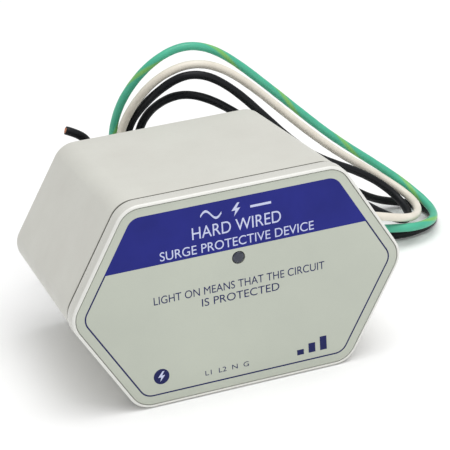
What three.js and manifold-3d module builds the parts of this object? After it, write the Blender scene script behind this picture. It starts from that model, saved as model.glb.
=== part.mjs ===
// Hard-wired surge protection device: a hexagonal two-part housing with a labelled front,
// a threaded nipple and locknut at the back, and four stiff building-wire leads.
// Millimetres, +Z up, +X to the right, the label faces -Y. The origin is under the middle of
// the device, on the level of the cover's lower edge.

import * as THREE from 'three';
import { NURBSCurve } from 'three/addons/curves/NURBSCurve.js';
import { mergeVertices } from 'three/addons/utils/BufferGeometryUtils.js';
import Module from 'manifold-3d';

const wasm = await Module();
wasm.setup();

// ---- driving dimensions ----

const GAP = 0.3; // clearance between pieces that touch

const WIDTH = 130; // cover, point to point
const HEIGHT = 79; // cover, flat to flat
const FLAT = 83; // length of the cover's level top and bottom edges between sharp corners
const CORNER_RADIUS = 10; // outer corners of the cover's outline
const CENTRE_Z = HEIGHT / 2;

const FRONT_Y = -51; // rim of the cover
const COVER_DEPTH = 6.5; // side of the cover's flange
const COVER_WALL = 2.6;
const COVER_EDGE = 1; // rounding of the cover's front edge
const RECESS_INSET = 1.1; // label recess, from the cover's outline
const RECESS_DEPTH = 0.95;
const LABEL_THICKNESS = 0.5;
const LABEL_RECESSED = 0.15; // how far the label lies below the rim

const GASKET_THICKNESS = 0.9;
const GASKET_INSET = 2.1;

const BODY_FRONT_Y = FRONT_Y + COVER_DEPTH + GASKET_THICKNESS + 2 * GAP;
const REAR_Y = 28.5; // rear mounting face
const BODY_INSET = 0.5; // the body's outline at the cover, inside the cover's
const BODY_DRAFT = 2.3; // how much further in it lies at the rear face
const BODY_WALL = 2.6;
const REAR_WALL = 3.2;
const REAR_EDGE = 1.8; // rounding of the body's rear edge

const RIM_CLEARANCE = 0.4; // cover's locating rim inside the body
const RIM_WALL = 1.7;
const RIM_REACH = 5;

const WINDOW_Z = 51.4;
const WINDOW_RADIUS = 2.2;
const WINDOW_FLANGE = 3.6;

const POST_RADIUS = 3.6;
const POSTS = [[-36, 64], [36, 64], [-36, 15], [36, 15]]; // x, z of the board's screws
const BOARD_FRONT_Y = -38.2;
const BOARD_THICKNESS = 1.6;
const BOARD_BACK_Y = BOARD_FRONT_Y + BOARD_THICKNESS;
const BOARD_INSET = 6.9;
const SCREW_RADIUS = 1.5;
const SCREW_HEAD_RADIUS = 2.9;
const SCREW_HEAD_HEIGHT = 2;
const SCREW_LENGTH = 7;

const NIPPLE_RADIUS = 13.2; // over the thread
const NIPPLE_BORE = 10.3;
const NIPPLE_TIP_Y = 50.2;
const NIPPLE_FLANGE_RADIUS = 17.5;
const NIPPLE_FLANGE_THICKNESS = 2.8;
const SEAL_DEPTH = 8;
const SEAL_CROWN = 0.8; // stands out of the nipple's mouth

const WASHER_RADIUS = 17.4;
const WASHER_THICKNESS = 1.6;
const NUT_RADIUS = 17.3;
const NUT_ROOT_RADIUS = 15.6;
const NUT_LUGS = 8;
const NUT_THICKNESS = 4.2;

const LEAD_RADIUS = 1.7;
const LEAD_SPACING = 3; // of the leads' centres from the nipple's axis, along X and along Z

const VARISTOR_RADIUS = 10.2;
const VARISTOR_THICKNESS = 5.2;
const VARISTOR_EDGE = 1.6; // rounding of the disc's edges
const VARISTOR_STAND = 2.4; // clear height of the disc above the board
const VARISTOR_X = [-37.5, -25, -12.5, 12.5, 25, 37.5];
const VARISTOR_Z = 44;
const VARISTOR_PITCH = 7.5; // between its two legs

const FUSE_X = [-21, 21];
const FUSE_Z = 62;
const FUSE = { length: 11, radius: 2.1, legRadius: 0.5 };

const RESISTOR_Z = 30;
const RESISTOR = { length: 6.5, radius: 1.2, legRadius: 0.35 };

const CAPACITOR = { x: 18, y: 14, z: 8.5 };
const CAPACITOR_LOW_Z = 59;
const CAPACITOR_STAND = 0.8;
const CAPACITOR_PITCH = 15;
const CAPACITOR_LEG_RADIUS = 0.5;

const TERMINAL_X = [-20, -8, 8, 20];
const TERMINAL_Z = 19;
const TERMINAL_PLATE = { x: 6, y: 9, z: 1.2 };
const TERMINAL_RADIUS = 2.6;
const TERMINAL_END_Y = BOARD_BACK_Y + GAP + TERMINAL_PLATE.y;

// ---- materials ----

function material(name, color, roughness, metalness = 0) {
  return new THREE.MeshStandardMaterial({ name, color, roughness, metalness });
}

const MATERIALS = {
  housing: material('housing_plastic', 0xdcdbd4, 0.45),
  cover: material('cover_plastic', 0xe4e4df, 0.38),
  gasket: material('gasket_rubber', 0x6f6e69, 0.8),
  label: material('label_film', 0xbcc3b6, 0.35),
  window: material('window_lens', 0x50535c, 0.2),
  board: material('board_laminate', 0x2f6b3c, 0.5),
  varistor: material('varistor_coating', 0x2f62b0, 0.4),
  fuse: material('fuse_body', 0xd8cdb0, 0.5),
  capacitor: material('capacitor_case', 0xc9a227, 0.4),
  led: material('led_lens', 0x5fc07a, 0.15),
  resistor: material('resistor_body', 0xcbb28a, 0.5),
  tin: material('tinned_copper', 0xc8c8c4, 0.35, 0.9),
  zinc: material('zinc_plate', 0xb9bcc0, 0.32, 0.95),
  washer: material('washer_rubber', 0x2b2b2c, 0.8),
  seal: material('lead_seal_resin', 0x35363a, 0.55),
  black: material('black_insulation', 0x1e2126, 0.4),
  white: material('white_insulation', 0xd7d0c6, 0.42),
  green: material('green_insulation', 0x3fa386, 0.4),
};

// ---- outlines ----

const SLANT = Math.atan2(HEIGHT / 2, (WIDTH - FLAT) / 2); // slope of the four slanted sides

// The cover's hexagon, drawn inset by a distance, with corners that stay concentric.
function hexagon(inset, Outline = THREE.Shape) {
  const radius = Math.max(CORNER_RADIUS - inset, 1);
  const deep = inset + radius;
  const side = WIDTH / 2 - deep / Math.sin(SLANT);
  const flat = FLAT / 2 - deep * Math.tan(SLANT / 2);
  const high = HEIGHT / 2 - deep;
  const lean = Math.PI / 2 - SLANT;
  const quarter = Math.PI / 2;
  const corners = [
    [side, 0, -lean, lean],
    [flat, high, lean, quarter],
    [-flat, high, quarter, 2 * quarter - lean],
    [-side, 0, 2 * quarter - lean, 2 * quarter + lean],
    [-flat, -high, 2 * quarter + lean, 3 * quarter],
    [flat, -high, 3 * quarter, 4 * quarter - lean],
  ];
  const outline = new Outline();
  for (const [x, y, from, to] of corners) {
    outline.absarc(x, y, radius, from, to, false);
  }
  outline.closePath();
  return outline;
}

function circle(radius, x = 0, y = 0, Outline = THREE.Shape) {
  const outline = new Outline();
  outline.absarc(x, y, radius, 0, 2 * Math.PI, false);
  return outline;
}

function ring(outer, inner) {
  const shape = circle(outer);
  shape.holes.push(circle(inner, 0, 0, THREE.Path));
  return shape;
}

// ---- solids ----

// A prism along Y of an outline drawn in X and Z, centred on the device's middle height.
function prism(outline, frontY, backY, { bevel = 0, segments = 3, z = CENTRE_Z } = {}) {
  const geometry = new THREE.ExtrudeGeometry(outline, {
    depth: backY - frontY - 2 * bevel,
    curveSegments: segments,
    bevelEnabled: bevel > 0,
    bevelThickness: bevel,
    bevelSize: bevel,
    bevelOffset: -bevel,
    bevelSegments: 3,
  });
  geometry.rotateX(Math.PI / 2);
  geometry.translate(0, backY - bevel, z);
  return geometry;
}

// A round solid on an axis along Y, from a closed profile of [radius, y] points.
function turned(profile, x, z, segments = 20) {
  const points = profile.map(([radius, y]) => new THREE.Vector2(radius, y));
  const geometry = new THREE.LatheGeometry(points, segments);
  geometry.translate(x, 0, z);
  return geometry;
}

function box(x, y, z, low) {
  const geometry = new THREE.BoxGeometry(x, y, z);
  geometry.translate(low[0] + x / 2, low[1] + y / 2, low[2] + z / 2);
  return geometry;
}

// A straight round bar between two points.
function bar(from, to, radius, segments = 10) {
  const start = new THREE.Vector3(...from);
  const end = new THREE.Vector3(...to);
  const span = end.clone().sub(start);
  const geometry = new THREE.CylinderGeometry(radius, radius, span.length(), segments);
  const turn = new THREE.Quaternion().setFromUnitVectors(new THREE.Vector3(0, 1, 0), span.normalize());
  geometry.applyQuaternion(turn);
  geometry.translate((start.x + end.x) / 2, (start.y + end.y) / 2, (start.z + end.z) / 2);
  return geometry;
}

// Narrows the body towards its rear face.
function draft(geometry) {
  const place = geometry.attributes.position;
  const narrowX = BODY_DRAFT / Math.sin(SLANT) / (WIDTH / 2);
  const narrowZ = BODY_DRAFT / (HEIGHT / 2);
  for (let i = 0; i < place.count; i += 1) {
    const along = (place.getY(i) - BODY_FRONT_Y) / (REAR_Y - BODY_FRONT_Y);
    place.setX(i, place.getX(i) * (1 - along * narrowX));
    place.setZ(i, CENTRE_Z + (place.getZ(i) - CENTRE_Z) * (1 - along * narrowZ));
  }
  return geometry;
}

function toSolid(geometry) {
  const bare = geometry.clone();
  bare.deleteAttribute('normal');
  bare.deleteAttribute('uv');
  const merged = mergeVertices(bare, 1e-4);
  return new wasm.Manifold(new wasm.Mesh({
    numProp: 3,
    vertProperties: new Float32Array(merged.attributes.position.array),
    triVerts: new Uint32Array(merged.index.array),
  }));
}

function toGeometry(solid) {
  const mesh = solid.getMesh();
  const geometry = new THREE.BufferGeometry();
  geometry.setAttribute('position', new THREE.BufferAttribute(mesh.vertProperties, 3));
  geometry.setIndex(new THREE.BufferAttribute(mesh.triVerts, 1));
  const faceted = geometry.toNonIndexed();
  faceted.computeVertexNormals();
  return faceted;
}

// Joins the first geometries and cuts the second ones away.
function built(joined, cuts = []) {
  let solid = toSolid(joined[0]);
  for (const geometry of joined.slice(1)) {
    solid = solid.add(toSolid(geometry));
  }
  for (const geometry of cuts) {
    solid = solid.subtract(toSolid(geometry));
  }
  return toGeometry(solid);
}

const device = new THREE.Group();

function piece(name, geometry, finish) {
  const mesh = new THREE.Mesh(geometry, finish);
  mesh.name = name;
  device.add(mesh);
}

// ---- housing ----

const CUT = 20; // how far cutting solids run past what they cut
const LENS_HOLE = WINDOW_RADIUS + GAP;

function housingBody() {
  const outside = draft(prism(hexagon(BODY_INSET), BODY_FRONT_Y - CUT, REAR_Y, { bevel: REAR_EDGE }));
  const inside = draft(prism(hexagon(BODY_INSET + BODY_WALL), BODY_FRONT_Y - CUT - 1, REAR_Y - REAR_WALL));
  const beyond = box(2 * WIDTH, 2 * CUT, 2 * HEIGHT, [-WIDTH, BODY_FRONT_Y - 2 * CUT, -HEIGHT / 2]);
  const outlet = prism(circle(NIPPLE_RADIUS + GAP), REAR_Y - CUT, REAR_Y + CUT, { segments: 12 });
  return built([outside], [beyond, inside, outlet]);
}

function frontCover() {
  const backY = FRONT_Y + COVER_DEPTH;
  const innerY = FRONT_Y + RECESS_DEPTH + COVER_WALL;
  const rimInset = BODY_INSET + BODY_WALL + RIM_CLEARANCE;
  const face = prism(hexagon(0), FRONT_Y, backY + CUT, { bevel: COVER_EDGE });
  const beyond = box(2 * WIDTH, 2 * CUT, 2 * HEIGHT, [-WIDTH, backY, -HEIGHT / 2]);
  const recess = prism(hexagon(RECESS_INSET), FRONT_Y - CUT, FRONT_Y + RECESS_DEPTH);
  const hollow = prism(hexagon(rimInset + RIM_WALL), innerY, backY + CUT);
  const lightHole = prism(circle(LENS_HOLE), FRONT_Y - 1, innerY + 1, { z: WINDOW_Z, segments: 8 });
  const rim = prism(hexagon(rimInset), backY - 1, backY + RIM_REACH);
  const posts = POSTS.map(([x, z]) => bar([x, innerY - 1, z], [x, BOARD_FRONT_Y - GAP, z], POST_RADIUS, 12));
  const pilots = POSTS.map(([x, z]) => bar(
    [x, BOARD_FRONT_Y - SCREW_LENGTH, z], [x, BOARD_FRONT_Y + 1, z], SCREW_RADIUS + GAP));
  let solid = toSolid(face).subtract(toSolid(beyond)).add(toSolid(rim));
  for (const cut of [recess, hollow, lightHole]) {
    solid = solid.subtract(toSolid(cut));
  }
  for (const post of posts) {
    solid = solid.add(toSolid(post));
  }
  for (const pilot of pilots) {
    solid = solid.subtract(toSolid(pilot));
  }
  return toGeometry(solid);
}

function coverGasket() {
  const outline = hexagon(GASKET_INSET);
  outline.holes.push(hexagon(BODY_INSET + BODY_WALL, THREE.Path));
  const frontY = FRONT_Y + COVER_DEPTH + GAP;
  return prism(outline, frontY, frontY + GASKET_THICKNESS);
}

function frontLabel() {
  const outline = hexagon(RECESS_INSET + GAP);
  outline.holes.push(circle(LENS_HOLE, 0, WINDOW_Z - CENTRE_Z, THREE.Path));
  const frontY = FRONT_Y + LABEL_RECESSED;
  return prism(outline, frontY, frontY + LABEL_THICKNESS);
}

piece('housing_body', housingBody(), MATERIALS.housing);
piece('front_cover', frontCover(), MATERIALS.cover);
piece('cover_gasket', coverGasket(), MATERIALS.gasket);
piece('front_label', frontLabel(), MATERIALS.label);

// ---- status light ----

function statusWindow() {
  const faceY = FRONT_Y + LABEL_RECESSED;
  const seatY = FRONT_Y + RECESS_DEPTH + COVER_WALL + GAP;
  const flange = 1.2;
  return turned([
    [0, faceY], [WINDOW_RADIUS - 0.4, faceY], [WINDOW_RADIUS, faceY + 0.4], [WINDOW_RADIUS, seatY],
    [WINDOW_FLANGE, seatY], [WINDOW_FLANGE, seatY + flange], [0, seatY + flange],
  ], 0, WINDOW_Z, 24);
}

function statusLed() {
  const baseY = BOARD_FRONT_Y - GAP;
  const dome = 2.5;
  const length = 6.5;
  const profile = [[0, baseY - length]];
  for (let step = 1; step <= 4; step += 1) {
    const angle = (step / 4) * (Math.PI / 2);
    profile.push([dome * Math.sin(angle), baseY - (length - dome) - dome * Math.cos(angle)]);
  }
  profile.push([dome, baseY - 1], [dome + 0.4, baseY - 1], [dome + 0.4, baseY], [0, baseY]);
  return turned(profile, 0, WINDOW_Z, 16);
}

piece('status_window', statusWindow(), MATERIALS.window);
piece('status_led', statusLed(), MATERIALS.led);

// ---- circuit board and what stands on it ----

function circuitBoard() {
  const outline = hexagon(BOARD_INSET);
  for (const [x, z] of POSTS) {
    outline.holes.push(circle(SCREW_RADIUS + GAP, x, z - CENTRE_Z, THREE.Path));
  }
  return prism(outline, BOARD_FRONT_Y, BOARD_BACK_Y, { segments: 3 });
}

function boardScrew(x, z) {
  const seatY = BOARD_BACK_Y + GAP;
  const rimHeight = 0.8;
  const crownRadius = 2;
  return turned([
    [0, seatY - SCREW_LENGTH], [SCREW_RADIUS, seatY - SCREW_LENGTH + 1], [SCREW_RADIUS, seatY],
    [SCREW_HEAD_RADIUS, seatY], [SCREW_HEAD_RADIUS, seatY + rimHeight],
    [crownRadius, seatY + SCREW_HEAD_HEIGHT], [0, seatY + SCREW_HEAD_HEIGHT],
  ], x, z, 12);
}

// A coated disc that stands on two wire legs.
function varistor(x) {
  const half = VARISTOR_THICKNESS / 2;
  const flat = half - VARISTOR_EDGE;
  const legRadius = 0.6;
  const footY = BOARD_BACK_Y + GAP;
  const centreY = footY + VARISTOR_STAND + VARISTOR_RADIUS;
  const legTopY = centreY - VARISTOR_RADIUS / 2;
  const rounded = [[0, -half], [VARISTOR_RADIUS - VARISTOR_EDGE, -half], [VARISTOR_RADIUS, -flat],
    [VARISTOR_RADIUS, flat], [VARISTOR_RADIUS - VARISTOR_EDGE, half], [0, half]];
  const disc = turned(rounded, 0, 0, 20);
  disc.rotateZ(-Math.PI / 2);
  disc.translate(x, centreY, VARISTOR_Z);
  const legs = [-VARISTOR_PITCH / 2, VARISTOR_PITCH / 2].map((side) => bar(
    [x, footY, VARISTOR_Z + side], [x, legTopY, VARISTOR_Z + side], legRadius, 6));
  return built([disc, ...legs]);
}

// A body lying along X on two bent legs, for the cut-offs and the resistor.
function axialPart(x, z, { length, radius, legRadius }) {
  const footY = BOARD_BACK_Y + GAP;
  const axisY = footY + radius + 1;
  const reach = length / 2 + 2;
  const body = bar([x - length / 2, axisY, z], [x + length / 2, axisY, z], radius, 14);
  const wire = bar([x - reach, axisY, z], [x + reach, axisY, z], legRadius, 6);
  const legs = [x - reach + legRadius, x + reach - legRadius].map((legX) => bar(
    [legX, footY, z], [legX, axisY, z], legRadius, 6));
  return built([body, wire, ...legs]);
}

function filterCapacitor() {
  const footY = BOARD_BACK_Y + GAP;
  const baseY = footY + CAPACITOR_STAND;
  const legZ = CAPACITOR_LOW_Z + CAPACITOR.z / 2;
  const shell = box(CAPACITOR.x, CAPACITOR.y, CAPACITOR.z, [-CAPACITOR.x / 2, baseY, CAPACITOR_LOW_Z]);
  const legs = [-CAPACITOR_PITCH / 2, CAPACITOR_PITCH / 2].map((x) => bar(
    [x, footY, legZ], [x, baseY + CAPACITOR.y / 2, legZ], CAPACITOR_LEG_RADIUS, 6));
  return built([shell, ...legs]);
}

// A tinned lug, soldered to the board, that a lead's bared end enters.
function leadTerminal(x, z) {
  const footY = BOARD_BACK_Y + GAP;
  const { x: width, y: length, z: thickness } = TERMINAL_PLATE;
  const plate = box(width, length, thickness, [x - width / 2, footY, z - TERMINAL_RADIUS - thickness / 2]);
  const barrel = bar([x, footY + 2, z], [x, TERMINAL_END_Y, z], TERMINAL_RADIUS, 12);
  return built([barrel, plate]);
}

piece('circuit_board', circuitBoard(), MATERIALS.board);
POSTS.forEach(([x, z], index) => {
  piece(`board_screw_${index + 1}`, boardScrew(x, z), MATERIALS.zinc);
});
VARISTOR_X.forEach((x, index) => {
  piece(`varistor_${index + 1}`, varistor(x), MATERIALS.varistor);
});
FUSE_X.forEach((x, index) => {
  piece(`thermal_fuse_${index + 1}`, axialPart(x, FUSE_Z, FUSE), MATERIALS.fuse);
});
piece('filter_capacitor', filterCapacitor(), MATERIALS.capacitor);
piece('led_resistor', axialPart(0, RESISTOR_Z, RESISTOR), MATERIALS.resistor);
TERMINAL_X.forEach((x, index) => {
  piece(`lead_terminal_${index + 1}`, leadTerminal(x, TERMINAL_Z), MATERIALS.tin);
});

// ---- nipple, washer, locknut and seal ----

function conduitNipple() {
  const flangeY = REAR_Y - REAR_WALL - GAP - NIPPLE_FLANGE_THICKNESS;
  const chamfer = 1.2;
  const profile = [
    [NIPPLE_BORE, flangeY], [NIPPLE_FLANGE_RADIUS, flangeY],
    [NIPPLE_FLANGE_RADIUS, flangeY + NIPPLE_FLANGE_THICKNESS],
    [NIPPLE_RADIUS, flangeY + NIPPLE_FLANGE_THICKNESS],
    [NIPPLE_RADIUS, NIPPLE_TIP_Y - chamfer], [NIPPLE_RADIUS - chamfer, NIPPLE_TIP_Y],
    [NIPPLE_BORE, NIPPLE_TIP_Y], [NIPPLE_BORE, flangeY],
  ];
  return turned(profile, 0, CENTRE_Z, 40);
}

function nutWasher() {
  return prism(ring(WASHER_RADIUS, NIPPLE_RADIUS + GAP), REAR_Y + GAP, REAR_Y + GAP + WASHER_THICKNESS,
    { segments: 18 });
}

function locknut() {
  const frontY = REAR_Y + 2 * GAP + WASHER_THICKNESS;
  const outline = new THREE.Shape();
  const share = (2 * Math.PI) / NUT_LUGS;
  for (let lug = 0; lug < NUT_LUGS; lug += 1) {
    const start = lug * share;
    outline.absarc(0, 0, NUT_RADIUS, start, start + share * 0.5, false);
    outline.absarc(0, 0, NUT_ROOT_RADIUS, start + share * 0.62, start + share * 0.88, false);
  }
  outline.closePath();
  const blank = prism(outline, frontY, frontY + NUT_THICKNESS, { segments: 2 });
  const bore = prism(circle(NIPPLE_RADIUS + GAP), frontY - 1, frontY + NUT_THICKNESS + 1, { segments: 18 });
  return built([blank], [bore]);
}

// The resin plug that holds the leads in the nipple's mouth.
function leadSeal() {
  const radius = NIPPLE_BORE - GAP;
  return turned([
    [0, NIPPLE_TIP_Y - SEAL_DEPTH], [radius, NIPPLE_TIP_Y - SEAL_DEPTH], [radius, NIPPLE_TIP_Y],
    [radius - 1, NIPPLE_TIP_Y + SEAL_CROWN * 0.7], [0, NIPPLE_TIP_Y + SEAL_CROWN],
  ], 0, CENTRE_Z, 28);
}

piece('conduit_nipple', conduitNipple(), MATERIALS.zinc);
piece('nut_washer', nutWasher(), MATERIALS.washer);
piece('locknut', locknut(), MATERIALS.zinc);
piece('lead_seal', leadSeal(), MATERIALS.seal);

// ---- wires ----

const WIRE_SIDES = 8;

// A round tube along a smooth curve that the route's points shape.
function tube(route, radius, steps) {
  const degree = 3;
  const knots = [];
  for (let i = 0; i <= route.length + degree; i += 1) {
    knots.push(Math.min(Math.max(i - degree, 0), route.length - degree));
  }
  const points = route.map(([x, y, z]) => new THREE.Vector4(x, y, z, 1));
  const path = new NURBSCurve(degree, knots, points);
  path.arcLengthDivisions = 1000;
  const section = new THREE.Shape();
  section.absarc(0, 0, radius, 0, 2 * Math.PI, false);
  return new THREE.ExtrudeGeometry(section, { steps, curveSegments: WIRE_SIDES / 2, extrudePath: path });
}

// A lead's inner end, from its lug on the board through the nipple to the back of the seal.
function innerRoute(terminalX, side, rise) {
  const endX = side * LEAD_SPACING;
  const endZ = CENTRE_Z + rise * LEAD_SPACING;
  const startY = TERMINAL_END_Y + GAP;
  const endY = NIPPLE_TIP_Y - SEAL_DEPTH - GAP;
  const span = endY - startY;
  return INNER_BEND.map(([along, across]) => [
    terminalX + (endX - terminalX) * across,
    startY + span * along,
    TERMINAL_Z + (endZ - TERMINAL_Z) * across,
  ]);
}

const INNER_STEPS = 16;
// how far along and how far across its points lie between its two ends
const INNER_BEND = [[0, 0], [0.09, 0], [0.2, 0.06], [0.33, 0.38], [0.5, 0.8], [0.68, 0.99], [0.84, 1],
  [1, 1]];
const INNER_WIRES = [
  { side: -1, rise: 1, finish: MATERIALS.white },
  { side: -1, rise: -1, finish: MATERIALS.green },
  { side: 1, rise: -1, finish: MATERIALS.black },
  { side: 1, rise: 1, finish: MATERIALS.black },
];
INNER_WIRES.forEach(({ side, rise, finish }, index) => {
  const route = innerRoute(TERMINAL_X[index], side, rise);
  piece(`inner_wire_${index + 1}`, tube(route, LEAD_RADIUS, INNER_STEPS), finish);
});

// The free leads, each about 457 mm long from the seal to its cut end. They rise behind the housing,
// arch over to the right and turn back low beside it. Three of them then lie in loops on the surface
// behind the housing; the fourth rises again and ends over its left shoulder.
const LEAD_STEPS = 76;
const LEADS = {
  ground_lead: {
    finish: MATERIALS.green,
    route: [
      [-3, 51.2, 36.5], [-3, 58, 36.5], [-3, 68, 37.5], [-4, 77, 45], [-3, 79, 57], [0, 75.5, 69.5],
      [5.5, 70, 80.5], [13.5, 66.5, 89], [26, 66, 93.5], [40, 66, 89], [56, 66, 74], [72, 66, 58],
      [88, 66, 42], [104, 66.5, 29], [118.5, 63, 17], [125.5, 48, 9], [120, 33, 9.5], [106, 26.5, 11],
      [90, 31, 13], [72, 38, 11], [54, 43, 7.5], [36, 45, 6.5], [18, 46, 6], [2, 48, 6], [-12, 56, 6],
      [-17, 69, 6.5], [-11, 83, 7], [3, 91, 7.5], [20, 92, 7.5], [39, 90, 7.5],
    ],
  },
  neutral_lead: {
    finish: MATERIALS.white,
    route: [
      [-3, 51.2, 42.5], [-3, 57.5, 42.5], [-3, 65.5, 42.5], [-3, 72.5, 46.5], [-1.5, 75.5, 54.5],
      [1.5, 73.5, 64], [6, 67, 74.5], [13, 62, 83], [25, 60, 87.5], [38, 60, 84], [51, 60, 73.5],
      [64, 60, 60], [78, 60, 46], [92, 62, 33.5], [106, 64, 23], [115.5, 57.5, 15.5], [118.5, 46, 12],
      [111, 32.5, 12], [94.5, 25.5, 19], [77, 28.5, 23], [61, 35, 18.5], [45, 39, 12.5], [28, 40, 8],
      [11, 40, 6], [-5, 42, 6], [-18, 50, 6], [-24, 64, 6.5], [-22, 79, 7], [-12, 91, 7.5], [3, 97, 7.5],
      [19, 98, 7.5], [34, 97, 7.5], [47, 95, 7.5],
    ],
  },
  line_lead_1: {
    finish: MATERIALS.black,
    route: [
      [3, 51.2, 36.5], [3, 58, 36.5], [3, 68, 37.5], [2, 77, 46], [3, 78, 58], [8, 71, 68.5],
      [12.5, 61.5, 77.5], [21, 57, 84], [32, 55, 83], [46, 55, 71], [60, 55, 54], [75.5, 55, 38.5],
      [91, 57.5, 30.5], [105, 59.5, 21.5], [113.5, 54.5, 13], [113.5, 43, 9], [105.5, 34.5, 11],
      [92.5, 33, 19.5], [78.5, 34.5, 30], [64, 38, 40.5], [46, 42, 50], [24, 44, 57], [2, 44, 60],
      [-20, 45, 57], [-33, 49, 43], [-37, 57, 25], [-31, 65, 13], [-19, 69, 11.5], [-7, 68, 9.5],
      [5, 66, 7.5], [17, 64, 7],
    ],
  },
  line_lead_2: {
    finish: MATERIALS.black,
    route: [
      [3, 51.2, 42.5], [3, 58, 42.5], [3, 67.5, 43], [5.5, 75.5, 50.5], [9.5, 77, 61], [15, 68, 70.5],
      [23, 61, 75], [34, 57, 71], [47, 58, 60.5], [60, 59, 48], [74, 60, 35], [89, 61.5, 22.5],
      [101, 63, 13.5], [111, 65.5, 8], [121.5, 64, 6], [127.5, 54.5, 5.5], [125, 43, 5.4], [115, 36, 5.4],
      [103.5, 34.5, 5.4], [94, 39.5, 5.5], [89.5, 52, 6], [86.5, 68, 6.5], [76, 83, 7], [58, 90, 7.5],
      [40, 84, 7.5], [25, 78, 8.5], [8, 77, 10], [-9, 78, 13.5], [-24, 77, 21], [-29, 72, 34],
      [-25, 66, 46], [-19, 60, 57], [-20, 50.5, 67.5], [-30, 52, 71.8],
    ],
  },
};

for (const [name, { finish, route }] of Object.entries(LEADS)) {
  piece(name, tube(route, LEAD_RADIUS, LEAD_STEPS), finish);
}

export default device;
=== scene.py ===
import math

import bmesh
import bpy
import numpy as np
from mathutils import Matrix, Vector


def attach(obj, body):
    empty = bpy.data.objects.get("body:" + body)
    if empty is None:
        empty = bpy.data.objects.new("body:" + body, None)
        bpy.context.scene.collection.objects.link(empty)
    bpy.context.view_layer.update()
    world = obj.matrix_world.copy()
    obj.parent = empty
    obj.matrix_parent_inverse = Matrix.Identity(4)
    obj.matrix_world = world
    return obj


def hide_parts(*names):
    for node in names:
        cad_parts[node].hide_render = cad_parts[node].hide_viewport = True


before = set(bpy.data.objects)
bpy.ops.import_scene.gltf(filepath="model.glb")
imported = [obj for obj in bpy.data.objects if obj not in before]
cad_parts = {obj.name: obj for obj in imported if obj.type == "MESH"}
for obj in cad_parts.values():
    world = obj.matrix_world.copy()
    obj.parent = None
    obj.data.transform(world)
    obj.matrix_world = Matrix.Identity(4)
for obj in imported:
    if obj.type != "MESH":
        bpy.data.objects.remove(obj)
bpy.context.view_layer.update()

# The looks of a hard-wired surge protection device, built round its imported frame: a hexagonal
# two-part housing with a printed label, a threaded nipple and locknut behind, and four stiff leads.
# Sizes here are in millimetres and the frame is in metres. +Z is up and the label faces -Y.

MM = 0.001

# ---- dimensions ----

GAP = 0.3
WIDTH = 130
HEIGHT = 79
FLAT = 83
CORNER_RADIUS = 10
CENTRE_Z = HEIGHT / 2

FRONT_Y = -51
COVER_DEPTH = 6.5
COVER_BACK_Y = FRONT_Y + COVER_DEPTH
COVER_EDGE = 1.0
COVER_BACK_EDGE = 0.9
COVER_WALL = 2.6
RECESS_INSET = 1.1
RECESS_DEPTH = 0.95
LABEL_Y = FRONT_Y + 0.15
LABEL_THICKNESS = 0.5
INK = 0.02

GASKET_THICKNESS = 0.9
BODY_FRONT_Y = COVER_BACK_Y + GASKET_THICKNESS + 2 * GAP
REAR_Y = 28.5
BODY_INSET = 0.5
BODY_DRAFT = 2.3
BODY_WALL = 2.6
REAR_WALL = 3.2
BODY_FRONT_EDGE = 0.35
REAR_EDGE = 1.8

SEAT_RADIUS = 19.5
SEAT_HEIGHT = 0.2

RIM_CLEARANCE = 0.4
RIM_INSET = BODY_INSET + BODY_WALL + RIM_CLEARANCE
RIM_WALL = 1.7
RIM_REACH = 5

WINDOW_Z = 51.4
WINDOW_RADIUS = 2.2
LENS_HOLE = WINDOW_RADIUS + GAP

POST_RADIUS = 3.6
PILOT_RADIUS = 1.8
PILOT_DEPTH = 7
POSTS = [(-36, 64), (36, 64), (-36, 15), (36, 15)]
BOARD_FRONT_Y = -38.2

BORDER_INSET = 4.5
BORDER_WIDTH = 0.55
HEADER_Z = 55.1

NIPPLE_RADIUS = 13.2
NIPPLE_BORE = 10.3
NIPPLE_TIP_Y = 50.2
NIPPLE_FLANGE_RADIUS = 17.5
NIPPLE_FLANGE_THICKNESS = 2.8
THREAD_PITCH = 25.4 / 14
THREAD_DEPTH = 1.0

WASHER_RADIUS = 17.4
WASHER_THICKNESS = 1.6
NUT_RADIUS = 17.3
NUT_ROOT_RADIUS = 15.6
NUT_LUGS = 8
NUT_THICKNESS = 4.2

SEAL_DEPTH = 8
SEAL_CROWN = 0.8

LEAD_RADIUS = 1.7
LEAD_SPACING = 3

# ---- camera ----

CAMERA_PLACE = (-250.195, -716.348, 366.509)
CAMERA_AZIMUTH = 20.27
CAMERA_ELEVATION = 23.03
CAMERA_ROLL = -3.5585
CAMERA_LENS = 174.605
SENSOR = 36


def aimed_camera():
    azimuth, elevation, roll = (
        math.radians(angle) for angle in (CAMERA_AZIMUTH, CAMERA_ELEVATION, CAMERA_ROLL))
    forward = Vector((math.sin(azimuth) * math.cos(elevation),
                      math.cos(azimuth) * math.cos(elevation), -math.sin(elevation)))
    level = Vector((math.cos(azimuth), -math.sin(azimuth), 0))
    above = level.cross(forward)
    right = level * math.cos(roll) + above * math.sin(roll)
    up = above * math.cos(roll) - level * math.sin(roll)
    data = bpy.data.cameras.new("camera")
    data.lens = CAMERA_LENS
    data.sensor_width = SENSOR
    data.clip_start = 0.05
    data.clip_end = 50
    camera = bpy.data.objects.new("camera", data)
    bpy.context.scene.collection.objects.link(camera)
    turn = Matrix((right, up, -forward)).transposed().to_4x4()
    camera.matrix_world = Matrix.Translation(Vector(CAMERA_PLACE) * MM) @ turn
    bpy.context.scene.camera = camera


aimed_camera()

# ---- mesh helpers ----


def link(name, mesh):
    piece = bpy.data.objects.new(name, mesh)
    bpy.context.scene.collection.objects.link(piece)
    return piece


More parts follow.
